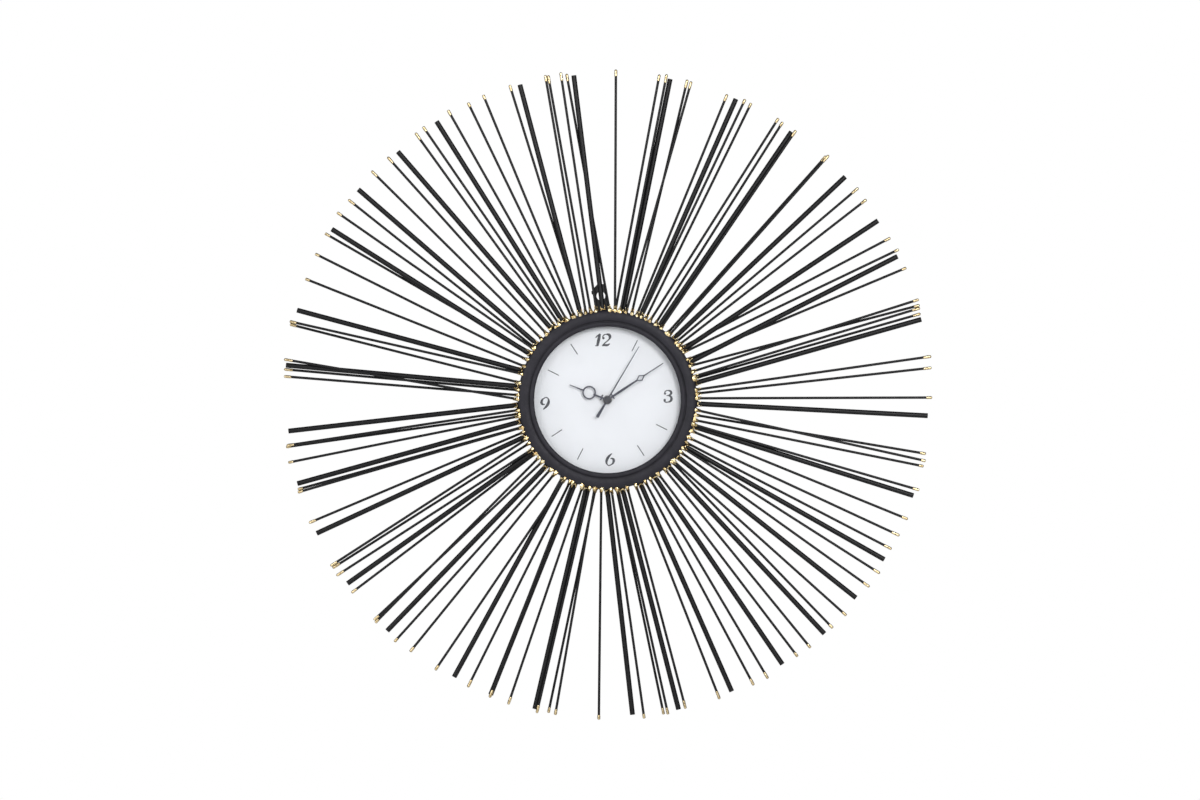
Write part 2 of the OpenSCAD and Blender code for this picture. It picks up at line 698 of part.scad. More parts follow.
module centre_wheel() {
    tube_z = centre_wheel_z - 0.4;
    color("#e8e4da") difference() {
        union() {
            translate([0, 0, centre_wheel_z])
                wheel(centre_n, centre_m, pinion_n, wheel_t, centre_phase);
            translate([0, 0, centre_wheel_z + wheel_t - eps])
                pinion(cannon_n, cannon_m, minute_work_n, 2.4, 0);
            translate([0, 0, tube_z])
                cylinder(h = minute_hand_z + 1.1 - tube_z, r = minute_tube_r, $fn = 48);
        }
        translate([0, 0, centre_wheel_z - 1]) cylinder(h = 20, r = arbor_r + running, $fn = 32);
        translate([0, 0, centre_wheel_z]) windows(5, 6.6, 2, wheel_t);
    }
}
module minute_work_wheel() {
    color("#e8e4da") on_axis(work_axis, work_wheel_z) difference() {
        union() {
            wheel(minute_work_n, cannon_m, cannon_n, 1, work_phase);
            translate([0, 0, 1 - eps]) pinion(work_pinion_n, hour_m, hour_n, 3, 0);
        }
        translate([0, 0, -eps]) cylinder(h = 6, r = setting_r, $fn = 32);
        windows(5, 5.6, 1.8, 1);
    }
}
module setting_arbor() {
    shoulder_z = 24.8;
    color("#b9bcc2") {
        on_axis(work_axis, 7) cylinder(h = shoulder_z - 7, r = setting_r, $fn = 32);
        on_axis(work_axis, shoulder_z - eps) cylinder(h = 0.9, r = third_pivot_r, $fn = 32);
    }
}
module setting_knob() {
    flutes = 18;
    knob_r = 6;
    color("#c9c9cc") on_axis(work_axis, 6.4) difference() {
        cylinder(h = 3.2, r = knob_r);
        translate([0, 0, 0.6]) cylinder(h = 4, r = setting_r, $fn = 32);
        for (i = [0:flutes - 1])
            rotate([0, 0, i * 360 / flutes]) translate([knob_r + 0.3, 0, -eps])
                cylinder(h = 4, r = 0.6, $fn = 24);
    }
}
module hour_wheel() {
    color("#e8e4da") difference() {
        union() {
            translate([0, 0, hour_wheel_z]) wheel(hour_n, hour_m, work_pinion_n, 1, hour_phase);
            translate([0, 0, hour_wheel_z])
                cylinder(h = hour_hand_z + 0.9 - hour_wheel_z, r = hour_tube_r, $fn = 48);
        }
        translate([0, 0, hour_wheel_z - eps]) cylinder(h = 20, r = minute_tube_r + running, $fn = 48);
        translate([0, 0, hour_wheel_z]) windows(5, 6, 2, 1);
    }
}

// ---- movement: motor, electronics and battery ----

module stator() {
    color("#9fa2a8") translate([0, 0, stator_z]) difference() {
        union() {
            translate([-23, 11.9, 0]) cube([38, 5.7, 0.8]);
            translate([-23, 17.5, 0]) cube([4, 6.7, 0.8]);
            translate([11, 17.5, 0]) cube([4, 6.7, 0.8]);
        }
        on_axis(rotor_axis, -eps) cylinder(h = 1, r = magnet_r + 0.3);
    }
}
module coil_core() {
    color("#8d9096") translate([-19, coil_y - 1.5, stator_z]) cube([30, 3, 0.8]);
}
module along_coil() { translate([-17, coil_y, stator_z + 0.4]) rotate([0, 90, 0]) children(); }
module coil_bobbin() {
    color("#d8d2c2") difference() {
        along_coil() {
            cylinder(h = 26, r = 2.2);
            for (x = [0, 25]) translate([0, 0, x]) cylinder(h = 1, r = 3.9);
        }
        translate([-18, coil_y - 1.55, stator_z - 0.05]) cube([28, 3.1, 0.9]);
    }
}
module coil_winding() {
    color("#b5622c") along_coil() translate([0, 0, 1]) difference() {
        cylinder(h = 24, r = 3.7);
        translate([0, 0, -eps]) cylinder(h = 25, r = 2.2);
    }
}
module circuit_board() {
    color("#2c6b3f") translate([16.5, -9, 13]) cube([10, 33, 1]);
}
module quartz_crystal() {
    color("#c5c8cc") translate([23.5, -5, 15.5]) rotate([-90, 0, 0]) cylinder(h = 8, r = 1.5);
}
module chip_cover() {
    profile = [for (a = [0:15:90]) [3.2 * cos(a), 1.2 * sin(a)]];
    color("#151517") translate([21.5, 14, 14]) rotate_extrude() polygon(concat([[0, 0]], profile));
}
module battery() {
    color("#3c5a86") translate([-cell_l / 2, cell_y, cell_z]) rotate([0, 90, 0]) {
        cylinder(h = cell_l - 1.2, r = cell_r);
        cylinder(h = cell_l, r = 2.75);
    }
}
module cell_contact(side, stand, r) {
    x = side * (cell_l / 2);
    translate([x + (side > 0 ? stand : -stand - 0.4), cell_y - 5, cell_z - 5]) cube([0.4, 10, 10]);
    translate([side > 0 ? x : x - stand - eps, cell_y, cell_z])
        rotate([0, 90, 0]) cylinder(h = stand + eps, r = r, $fn = 32);
}
module positive_contact() { color("#c9ccd1") cell_contact(1, 1.2, 2); }
module negative_contact() { color("#c9ccd1") cell_contact(-1, 1.2, 3); }

// ---- hands ----

// Cuts a hand from sheet, at its height
module hand_blank(z) { translate([0, 0, z]) linear_extrude(hand_t) children(); }
module hour_hand() {
    ring_y = 24.5;
    ring_r = 8.5;
    color("#46474e") clock(hour_angle) hand_blank(hour_hand_z) difference() {
        union() {
            circle(r = 5);
            translate([-1.1, 0]) square([2.2, 16.8]);
            translate([-3.65, 6.9]) square([7.3, 1.9]);
            polygon([[-1.9, 16.3], [1.9, 16.3], [1, 18.8], [-1, 18.8]]);
            translate([0, ring_y]) difference() {
                circle(r = ring_r);
                circle(r = ring_r - 1.8);
            }
            polygon([[-0.95, 32.2], [0.95, 32.2], [0.5, hour_l], [-0.5, hour_l]]);
        }
        circle(r = hour_tube_r);
    }
}
module minute_hand() {
    diamond_y = 49.5;
    diamond = [[0, -6.9], [4.2, 0], [0, 6.9], [-4.2, 0]];
    opening = 0.63;          // size of the diamond's opening against its outline
    color("#50515a") clock(minute_angle) hand_blank(minute_hand_z) difference() {
        union() {
            circle(r = 4.6);
            polygon([[-1.2, 0], [1.2, 0], [1.5, 24], [1, 44.5], [-1, 44.5], [-1.5, 24]]);
            translate([-3.65, 7.1]) square([7.3, 1.6]);
            translate([0, diamond_y]) difference() {
                polygon(diamond);
                polygon(diamond * opening);
            }
            polygon([[-0.7, 54.3], [0.7, 54.3], [0.4, minute_l], [-0.4, minute_l]]);
        }
        circle(r = minute_tube_r);
    }
}
module second_hand() {
    tail_end = 23.6;
    color("#50515a") clock(second_angle) hand_blank(second_hand_z) difference() {
        union() {
            circle(r = 3);
            polygon([
                [-0.4, second_l], [-0.95, 0], [-1.95, -tail_end],
                [1.95, -tail_end], [0.95, 0], [0.4, second_l]
            ]);
            translate([0, -tail_end]) circle(r = 2);
        }
        circle(r = arbor_r);
    }
}
module hub_cap() {
    r = 5.2;
    base = second_hand_z + hand_t;
    dome = [for (a = [0:15:90]) [r - 0.5 + 0.5 * cos(a), base + 0.4 + 0.5 * sin(a)]];
    bore = [[0, base + 0.95], [0, base + 0.3], [arbor_r, base + 0.3]];
    color("#3e3f45") rotate_extrude() polygon(concat([[arbor_r, base], [r, base]], dome, bore));
}

// ---- output ----

upright() hoop();
upright() front_wires();
upright() rear_wires();
upright() thick_rods();
upright() front_gold_tips();
upright() rear_gold_tips();
upright() front_braze();
upright() middle_braze();
upright() rear_braze();
upright() bezel();
upright() bezel_screws();
upright() lens();
upright() lens_spacer();
upright() dial();
upright() dial_numerals();
upright() hour_ticks();
upright() back_plate();
upright() back_plate_screws();
upright() wall_pads();
upright() hanger_plate();
upright() hanger_rivets();
upright() movement_case();
upright() movement_cover();
upright() threaded_bush();
upright() bush_nut();
upright() steel_washer();
upright() rubber_washer();
upright() rotor_pinion();
upright() rotor_magnet();
upright() intermediate_wheel();
upright() intermediate_stud();
upright() seconds_wheel();
upright() seconds_arbor();
upright() third_wheel();
upright() third_arbor();
upright() centre_wheel();
upright() minute_work_wheel();
upright() setting_arbor();
upright() setting_knob();
upright() hour_wheel();
upright() stator();
upright() coil_core();
upright() coil_bobbin();
upright() coil_winding();
upright() circuit_board();
upright() quartz_crystal();
upright() chip_cover();
upright() battery();
upright() positive_contact();
upright() negative_contact();
upright() hour_hand();
upright() minute_hand();
upright() second_hand();
upright() hub_cap();
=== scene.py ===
"""Studio picture of a sunburst wall clock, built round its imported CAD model.

The CAD nodes stay where they are and get node-based materials. The braze beads, the gold tips
and the cell are replaced by finer meshes that take their places from the CAD nodes, and one wire
gets a run of dried paint. Lengths are in metres in the model's own frame: +Z is up, and the dial
faces -Y.
"""

import json
import math
import random
import bmesh
import bpy
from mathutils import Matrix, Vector, noise


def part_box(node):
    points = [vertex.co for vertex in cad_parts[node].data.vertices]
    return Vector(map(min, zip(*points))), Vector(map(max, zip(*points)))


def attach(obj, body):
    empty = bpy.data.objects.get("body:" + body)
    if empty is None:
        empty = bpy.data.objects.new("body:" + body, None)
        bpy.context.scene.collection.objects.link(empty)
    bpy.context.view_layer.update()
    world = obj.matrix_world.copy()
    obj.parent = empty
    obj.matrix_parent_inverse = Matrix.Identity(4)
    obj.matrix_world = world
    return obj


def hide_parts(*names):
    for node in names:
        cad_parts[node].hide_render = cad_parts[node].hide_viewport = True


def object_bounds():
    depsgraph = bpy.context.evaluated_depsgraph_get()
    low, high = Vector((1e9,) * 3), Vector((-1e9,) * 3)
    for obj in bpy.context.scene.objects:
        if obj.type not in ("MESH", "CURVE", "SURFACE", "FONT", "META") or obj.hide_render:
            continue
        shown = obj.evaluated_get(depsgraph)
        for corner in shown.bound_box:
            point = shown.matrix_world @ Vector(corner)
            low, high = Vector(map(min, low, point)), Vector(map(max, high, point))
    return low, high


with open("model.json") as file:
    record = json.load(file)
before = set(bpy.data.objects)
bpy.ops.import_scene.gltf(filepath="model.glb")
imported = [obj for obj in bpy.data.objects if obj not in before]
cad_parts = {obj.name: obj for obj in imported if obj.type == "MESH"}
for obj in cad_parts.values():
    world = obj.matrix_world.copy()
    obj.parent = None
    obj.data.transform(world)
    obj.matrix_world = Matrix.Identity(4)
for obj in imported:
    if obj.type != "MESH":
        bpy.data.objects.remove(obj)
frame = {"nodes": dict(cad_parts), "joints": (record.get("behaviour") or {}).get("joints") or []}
cad_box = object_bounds()

MM = 0.001
FRONT = Vector((0, -1, 0))
HUB = next(Vector(joint["pos_m"]) for joint in frame["joints"] if joint["name"] == "minute_spin")
BEZEL_LOW, BEZEL_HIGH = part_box("bezel")
DRUM_R = (BEZEL_HIGH.x - BEZEL_LOW.x) / 2
WIRE_R = 1.6 * MM
ROD_R = 3.1 * MM            # a hair under the rods' true radius, to keep their braze tight

# ---- node trees ----


class Nodes:
    """A node tree under construction, for a material or a world."""

    def __init__(self, owner):
        owner.use_nodes = True
        self.tree = owner.node_tree
        self.tree.nodes.clear()

    def feed(self, node, name, value):
        """Joins another node's output to an input, or sets the input to a number or colour."""
        target = node.inputs[name]
        if isinstance(value, bpy.types.NodeSocket):
            self.tree.links.new(value, target)
        elif target.type == "RGBA":
            target.default_value = tuple(value) + (1.0,)
        else:
            target.default_value = value

    def add(self, kind, inputs=None, **settings):
        """Adds a shader node with its settings and inputs."""
        node = self.tree.nodes.new("ShaderNode" + kind)
        for name, value in settings.items():
            setattr(node, name, value)
        for name, value in (inputs or {}).items():
            self.feed(node, name, value)
        return node


class Shader(Nodes):
    """A material under construction: a Principled shader and the nodes that feed it."""

    def __init__(self, name):
        self.material = bpy.data.materials.new(name)
        super().__init__(self.material)
        self.output = self.add("OutputMaterial")
        self.skin = self.add("BsdfPrincipled")
        self.show(self.skin.outputs[0])
        self.place = self.add("TexCoord").outputs["Object"]

    def show(self, shader):
        """Makes this shader the one that the surface shows."""
        self.tree.links.new(shader, self.output.inputs["Surface"])

    def skin_is(self, **values):
        """Sets inputs of the Principled shader; an underscore stands for a space."""
        for name, value in values.items():
            self.feed(self.skin, name.replace("_", " "), value)

    def now(self, name):
        """What feeds an input of the Principled shader so far."""
        return self.skin.inputs[name].links[0].from_socket

    # Coordinates

    def stretched(self, x, y, z):
        """The object's coordinates, scaled along each axis."""
        return self.add("Mapping", {"Vector": self.place, "Scale": (x, y, z)}).outputs[0]

    def from_axis(self):
        """The object's coordinates, counted from the hands' axis and flattened along it."""
        centred = self.add("Mapping", {"Vector": self.place, "Location": -HUB}).outputs[0]
        return self.add("Mapping", {"Vector": centred, "Scale": (1, 0, 1)}).outputs[0]

    # Patterns

    def noise(self, size, detail=3.0, place=None):
        """Cloudy noise whose features are about this size."""
        inputs = {"Vector": place or self.place, "Scale": 1 / size, "Detail": detail}
        return self.add("TexNoise", inputs).outputs["Fac"]

    def bands(self, size, axis, warp):
        """Straight bands this far apart along an axis."""
        inputs = {
            "Vector": self.place, "Scale": math.pi / 10 / size, "Distortion": warp, "Detail": 1.0,
        }
        return self.add("TexWave", inputs, bands_direction=axis).outputs["Fac"]

    def rings(self, size):
        """Rings this far apart round the hands' axis, as turning leaves them."""
        inputs = {"Vector": self.from_axis(), "Scale": math.pi / 10 / size}
        node = self.add("TexWave", inputs, wave_type="RINGS", rings_direction="SPHERICAL")
        return node.outputs["Fac"]

    def edges(self, width):
        """A mask that is 1 along sharp edges and 0 on open faces."""
        soft = self.add("Bevel", {"Radius": width}, samples=4).outputs[0]
        flat = self.add("NewGeometry").outputs["Normal"]
        dot = self.add("VectorMath", {0: soft, 1: flat}, operation="DOT_PRODUCT")
        return self.span(dot.outputs["Value"], 1.0, 0.0, 0.9, 0.995)

    # Factors and colours

    def span(self, factor, low, high, start=0.3, end=0.7):
        """Carries a factor from start..end to low..high."""
        inputs = {
            "Value": factor, "From Min": start, "From Max": end, "To Min": low, "To Max": high,
        }
        return self.add("MapRange", inputs).outputs[0]

    def maths(self, operation, first, second):
        """One step of arithmetic on two factors."""
        return self.add("Math", {0: first, 1: second}, operation=operation).outputs[0]

    def ramp(self, factor, *stops):
        """A colour ramp through (place, colour) stops."""
        node = self.add("ValToRGB", {"Fac": factor})
        steps = node.color_ramp.elements
        while len(steps) < len(stops):
            steps.new(1.0)
        for step, (place, colour) in zip(steps, stops):
            step.position = place
            step.color = tuple(colour) + (1.0,)
        return node.outputs["Color"]

    def mix(self, factor, first, second):
        """Mixes two colours."""
        return self.add("Mix", {0: factor, 6: first, 7: second}, data_type="RGBA").outputs[2]

    # Changes to the Principled shader

    def relief(self, height, depth, under=None):
        """A surface raised by a height map, over another relief if one is given."""
        inputs = {"Height": height, "Distance": depth, "Strength": 1.0}
        if under is not None:
            inputs["Normal"] = under
        return self.add("Bump", inputs).outputs[0]

    def cover(self, mask, colour):
        """Lays a colour over the base colour where the mask is 1."""
        self.skin_is(Base_Color=self.mix(mask, self.now("Base Color"), colour))

    def shade_grazing_edges(self, colour):
        """Paints shade on a metal where its surface turns away from the viewer, so it darkens
        towards its edges as seen.
        """
        facing = self.add("LayerWeight", {"Blend": 0.5}).outputs["Facing"]
        # painted shade: colour darkens where the surface turns away from the viewer
        self.cover(self.span(facing, 0, 1, 0.35, 0.85), colour)


def grained(name, colours, patch, grain, depth, rough, metallic=0.0):
    """A surface with cloudy colour patches and a fine grain. All sizes are in metres."""
    look = Shader(name)
    cloud = look.noise(patch)
    stops = [(0.3 + 0.4 * i / (len(colours) - 1), c) for i, c in enumerate(colours)]
    look.skin_is(
        Base_Color=look.ramp(cloud, *stops),
        Metallic=metallic,
        Roughness=look.span(look.noise(patch * 0.4), *rough),
        Normal=look.relief(look.noise(grain), depth),
    )
    return look


# ---- materials ----


def black_paint():
    """Satin black paint on the rays, a little uneven, with small brown specks."""
    look = grained("black_paint", [(0.004, 0.004, 0.0045), (0.008, 0.008, 0.009)],
                   4 * MM, 0.7 * MM, 0.04 * MM, (0.36, 0.48))
    look.cover(look.span(look.noise(1.3 * MM, 2), 0, 1, 0.74, 0.78), (0.03, 0.026, 0.022))
    look.skin_is(Specular_IOR_Level=0.22)
    return look.material


def worn_black_paint():
    """Black paint on the hoop and the plates, worn through along their edges."""
    look = grained("worn_black_paint", [(0.010, 0.010, 0.011), (0.022, 0.022, 0.024)],
                   9 * MM, 0.5 * MM, 0.05 * MM, (0.42, 0.62))
    worn = look.maths("MULTIPLY", look.edges(0.5 * MM), look.span(look.noise(2 * MM), 0, 0.8))
    look.cover(worn, (0.16, 0.155, 0.15))
    look.skin_is(Metallic=worn)
    return look.material


def champagne_gold():
    """Pale gold leaf paint on the tips, with painted shade along their edges where they turn from
    the viewer.
    """
    look = grained("champagne_gold",
                   [(0.37, 0.265, 0.12), (0.67, 0.53, 0.30), (0.92, 0.78, 0.51)],
                   1.6 * MM, 0.5 * MM, 0.05 * MM, (0.28, 0.42), 1.0)
    # painted shade: the gold darkens to brown where the tip turns away from the viewer
    look.shade_grazing_edges((0.09, 0.065, 0.028))
    look.skin_is(Specular_Tint=(0.2, 0.16, 0.08))
    return look.material


def braze_metal():
    """Bright brass filler with brown oxide in patches, painted shade along its edges as seen, and
    darker brown where it runs out past the drum.
    """
    look = grained("braze_metal",
                   [(0.26, 0.13, 0.04), (0.92, 0.72, 0.36), (0.98, 0.90, 0.66)],
                   3.2 * MM, 0.5 * MM, 0.06 * MM, (0.16, 0.34), 1.0)
    # painted shade: the filler darkens where its surface turns away from the viewer
    look.shade_grazing_edges((0.05, 0.022, 0.006))
    # darker brown in patches from just past the drum's edge outwards
    reach = look.add("VectorMath", {0: look.from_axis()}, operation="LENGTH").outputs["Value"]
    outside = look.span(reach, 0, 1, DRUM_R + 1.5 * MM, DRUM_R + 5 * MM)
    browner_outward = look.maths("MULTIPLY", outside, look.span(look.noise(2.6 * MM), 0.1, 1.0))
    look.cover(browner_outward, (0.045, 0.018, 0.006))
    look.skin_is(Specular_Tint=(0.3, 0.2, 0.08))
    return look.material


def bezel_paint():
    """Charcoal stoved paint with a fine hammered grain."""
    look = grained("bezel_paint", [(0.010, 0.0095, 0.014), (0.017, 0.0158, 0.0225)],
                   12 * MM, 1.1 * MM, 0.06 * MM, (0.5, 0.62))
    look.skin_is(
        Normal=look.relief(look.noise(0.3 * MM), 0.015 * MM, look.now("Normal")),
        Specular_IOR_Level=0.27,
    )
    return look.material


def clear_lens():
    """Clear glass that lets light straight through and reflects a little, with faint smears."""
    look = Shader("clear_lens")
    smear = look.span(look.noise(22 * MM, 5), 0.02, 0.05)
    mirror = look.add("BsdfGlossy", {"Color": (1, 1, 1), "Roughness": smear}).outputs[0]
    through = look.add("BsdfTransparent", {"Color": (0.985, 0.99, 0.99)}).outputs[0]
    share = look.add("Fresnel", {"IOR": 1.45}).outputs[0]
    look.show(look.add("MixShader", {0: share, 1: through, 2: mirror}).outputs[0])
    look.tree.nodes.remove(look.skin)
    return look.material


def dial_card():
    """White printed sheet, barely mottled, with a fine tooth."""
    return grained("dial_card", [(0.82, 0.822, 0.852), (0.845, 0.847, 0.878)],
                   30 * MM, 0.25 * MM, 0.006 * MM, (0.4, 0.5)).material


def dial_ink():
    """Dark grey screen-printed ink, thinner in places."""
    return grained("dial_ink", [(0.036, 0.036, 0.044), (0.08, 0.08, 0.094)],
                   3 * MM, 0.2 * MM, 0.01 * MM, (0.3, 0.45)).material


def hand_paint():
    """Dark grey satin lacquer on stamped hands, with a painted highlight along the cut edges."""
    look = grained("hand_paint", [(0.050, 0.051, 0.072), (0.080, 0.081, 0.108)],
                   6 * MM, 0.3 * MM, 0.015 * MM, (0.28, 0.42), 0.3)
    # painted highlight: lighter colour along the hands' cut edges
    look.cover(look.edges(0.12 * MM), (0.16, 0.16, 0.18))
    return look.material


def cap_metal():
    """Polished dark cap over the hands' axis, with faint turning rings."""
    look = Shader("cap_metal")
    rings = look.rings(0.35 * MM)
    look.skin_is(
        Base_Color=look.ramp(rings, (0.2, (0.05, 0.05, 0.058)), (0.8, (0.10, 0.10, 0.112))),
        Metallic=0.8,
        Roughness=look.span(look.noise(1 * MM), 0.2, 0.32),
        Normal=look.relief(rings, 0.01 * MM),
    )
    return look.material


def bright_steel():
    """Zinc-plated steel with fine scratches."""
    look = Shader("bright_steel")
    scratches = look.noise(0.25 * MM, 4, look.stretched(1, 1, 0.12))
    look.skin_is(
        Base_Color=look.ramp(look.noise(3 * MM), (0.3, (0.42, 0.42, 0.44)),
                             (0.7, (0.62, 0.62, 0.63))),
        Metallic=1.0,
        Roughness=look.span(scratches, 0.22, 0.42),
        Normal=look.relief(scratches, 0.012 * MM),
    )
    return look.material


def moulded_black():
    """Black moulded plastic with spark-eroded grain and shinier rubbed edges."""
    look = grained("moulded_black", [(0.014, 0.014, 0.016), (0.024, 0.024, 0.027)],
                   8 * MM, 0.28 * MM, 0.03 * MM, (0.45, 0.62))
    look.cover(look.maths("MULTIPLY", look.edges(0.4 * MM), 0.5), (0.07, 0.07, 0.075))
    return look.material


def white_acetal():
    """Off-white moulded gear plastic, slightly see-through."""
    look = grained("white_acetal", [(0.66, 0.63, 0.55), (0.78, 0.76, 0.69)],
                   3 * MM, 0.2 * MM, 0.01 * MM, (0.3, 0.42))
    look.skin_is(Subsurface_Weight=0.15, Subsurface_Radius=(0.6 * MM, 0.5 * MM, 0.35 * MM))
    return look.material


def soft_rubber():
    """Dull black rubber foam with open pores."""
    return grained("soft_rubber", [(0.018, 0.018, 0.018), (0.04, 0.04, 0.04)],
                   1.5 * MM, 0.35 * MM, 0.12 * MM, (0.75, 0.95)).material


def turned_brass():
    """Brass with turning rings."""
    look = Shader("turned_brass")
    rings = look.rings(0.18 * MM)
    look.skin_is(
        Base_Color=look.ramp(look.noise(2 * MM), (0.3, (0.55, 0.36, 0.12)),
                             (0.7, (0.78, 0.56, 0.24))),
        Metallic=1.0,
        Roughness=look.span(rings, 0.2, 0.36, 0, 1),
        Normal=look.relief(rings, 0.01 * MM),
    )
    return look.material


def sintered_magnet():
    """Dark grey sintered magnet with a sandy grain."""
    return grained("sintered_magnet", [(0.05, 0.05, 0.055), (0.10, 0.10, 0.11)],
                   0.8 * MM, 0.15 * MM, 0.03 * MM, (0.5, 0.7), 0.6).material


def motor_iron():
    """Stamped soft iron with rolling marks along it."""
    look = Shader("motor_iron")
    rolled = look.noise(0.3 * MM, 4, look.stretched(0.08, 1, 1))
    look.skin_is(
        Base_Color=look.ramp(rolled, (0.3, (0.28, 0.28, 0.30)), (0.7, (0.44, 0.44, 0.45))),
        Metallic=1.0,
        Roughness=look.span(rolled, 0.35, 0.55),
        Normal=look.relief(rolled, 0.01 * MM),
    )
    return look.material


def copper_winding():
    """Enamelled copper wire, wound side by side along the coil."""
    look = Shader("copper_winding")
    turns = look.bands(0.16 * MM, "X", 0.6)
    look.skin_is(
        Base_Color=look.ramp(turns, (0.1, (0.16, 0.04, 0.01)), (0.7, (0.62, 0.24, 0.08))),
        Metallic=0.7,
        Roughness=look.span(look.noise(2 * MM), 0.25, 0.4),
        Normal=look.relief(turns, 0.05 * MM),
    )
    return look.material


def green_board():
    """Green solder mask over copper tracks."""
    look = Shader("green_board")
    inputs = {"Vector": look.place, "Scale": 1 / (3.2 * MM), "Randomness": 0.9}
    cells = look.add("TexVoronoi", inputs, feature="DISTANCE_TO_EDGE").outputs["Distance"]
    tracks = look.span(cells, 1, 0, 0.05, 0.09)
    look.skin_is(
        Base_Color=look.mix(tracks, (0.012, 0.10, 0.035), (0.04, 0.20, 0.07)),
        Roughness=look.span(look.noise(2 * MM), 0.22, 0.34),
        Normal=look.relief(tracks, 0.03 * MM),
    )
    return look.material


def cell_jacket():
    """Printed shrink sleeve: deep blue with a copper-coloured band and a black shoulder, and
    bare metal ends."""
    look = Shader("cell_jacket")
    low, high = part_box("battery")
    length = high.x - low.x
    along = look.add("SeparateXYZ", {"Vector": look.place}).outputs["X"]
    share = look.span(along, 0, 1, low.x, high.x)
    blue, copper, black = (0.03, 0.09, 0.26), (0.62, 0.36, 0.16), (0.02, 0.02, 0.024)
    sleeve = look.ramp(share, (0.0, blue), (0.60, blue), (0.61, copper), (0.63, copper),
                       (0.64, black), (1.0, black))
    base, nub = 1.1 * MM / length, 2.42 * MM / length
    bare = look.maths("ADD", look.maths("LESS_THAN", share, base),
                      look.maths("GREATER_THAN", share, 1 - nub))
    scuffs = look.span(look.noise(5 * MM, 5), 0.0, 0.12)
    scuffed = look.mix(scuffs, sleeve, (0.5, 0.5, 0.5))
    look.skin_is(
        Base_Color=look.mix(bare, scuffed, (0.55, 0.55, 0.57)),
        Metallic=look.span(bare, 0.25, 1.0, 0, 1),
        Roughness=look.span(look.noise(3 * MM), 0.22, 0.36),
        Normal=look.relief(look.noise(0.8 * MM), 0.02 * MM),
    )
    return look.material


def pale_floor():
    """Plain matt floor, off-white, lit a little from within so that it stays pale."""
    look = grained("pale_floor", [(0.80, 0.80, 0.80), (0.83, 0.83, 0.83)],
                   0.5, 4 * MM, 0.1 * MM, (0.8, 0.9))
    look.skin_is(Emission_Color=(1, 1, 1), Emission_Strength=0.3)
    return look.material


MATERIALS = {
    black_paint: ["front_wires", "rear_wires", "thick_rods"],
    worn_black_paint: ["hoop", "back_plate", "hanger_plate"],
    champagne_gold: ["front_gold_tips", "rear_gold_tips"],
    braze_metal: ["front_braze", "middle_braze", "rear_braze"],
    bezel_paint: ["bezel"],
    clear_lens: ["lens"],
    dial_card: ["dial"],
    dial_ink: ["dial_numerals", "hour_ticks"],
    hand_paint: ["hour_hand", "minute_hand", "second_hand"],
    cap_metal: ["hub_cap"],
    bright_steel: ["bezel_screws", "back_plate_screws", "hanger_rivets", "steel_washer",
                   "intermediate_stud", "seconds_arbor", "third_arbor", "setting_arbor",
                   "quartz_crystal", "positive_contact", "negative_contact"],
    moulded_black: ["lens_spacer", "movement_case", "movement_cover", "chip_cover"],
    white_acetal: ["rotor_pinion", "intermediate_wheel", "seconds_wheel", "third_wheel",
                   "centre_wheel", "minute_work_wheel", "hour_wheel", "setting_knob",
                   "coil_bobbin"],
    soft_rubber: ["wall_pads", "rubber_washer"],
    turned_brass: ["threaded_bush", "bush_nut"],
    sintered_magnet: ["rotor_magnet"],
    motor_iron: ["stator", "coil_core"],
    copper_winding: ["coil_winding"],
    green_board: ["circuit_board"],
    cell_jacket: ["battery"],
}
made = {}


def dress_nodes():
    """Gives every CAD node its material."""
    for maker, names in MATERIALS.items():
        made[maker.__name__] = maker()
        for name in names:
            slots = frame["nodes"][name].data.materials
            slots.clear()
            slots.append(made[maker.__name__])


# ---- finding the rays in the frame ----


def solids(name):
    """The corner points of each separate solid in a CAD node."""
    mesh = frame["nodes"][name].data
    keys = [tuple(round(c, 6) for c in v.co) for v in mesh.vertices]
    leader = {key: key for key in keys}

    def head(key):
        while leader[key] != key:
            leader[key] = leader[leader[key]]
            key = leader[key]
        return key

    for face in mesh.polygons:
        for index in face.vertices:
            leader[head(keys[index])] = head(keys[face.vertices[0]])
    groups = {}
    for key in sorted(leader):
        groups.setdefault(head(key), []).append(Vector(key))
    return [groups[key] for key in sorted(groups)]


def centre(points):
    """The middle of the box round some points."""
    low = Vector([min(p[k] for p in points) for k in range(3)])
    high = Vector([max(p[k] for p in points) for k in range(3)])
    return (low + high) / 2


def rays(name):
    """Each bar of a node as (inner end, outer end), both on its own axis."""
    found = []
    for points in solids(name):
        middle = centre(points)
        along = max(points, key=lambda p: (p - middle).length) - middle
        outward = (middle - HUB).dot(along)
        inner = [p for p in points if (p - middle).dot(along) * outward < 0]
        outer = [p for p in points if (p - middle).dot(along) * outward > 0]
        found.append((centre(inner), centre(outer)))
    return found


def nearest(rays_found, point, end):
    """The ray whose inner (0) or outer (1) end is nearest to a point."""
    return min(rays_found, key=lambda ray: (ray[end] - point).length)


def ray_frame(ray):
    """Unit vectors along a ray, across it and towards the viewer."""
    along = (ray[1] - ray[0]).normalized()
    return along, FRONT.cross(along).normalized(), FRONT


def seat_on(ray, point):
    """The spot on a ray's axis that looks nearest to a point from the front, and the step from
    that spot to the point, both at the depth of the ray."""
    along = ray_frame(ray)[0]
    level = Vector((point.x, ray[0].y, point.z))
    seat = ray[0] + along * (level - ray[0]).dot(along)
    return seat, level - seat


# ---- meshes ----


def in_scene(name, data):
    """A new object with this data, linked to the scene."""
    made_object = bpy.data.objects.new(name, data)
    bpy.context.scene.collection.objects.link(made_object)
    return made_object


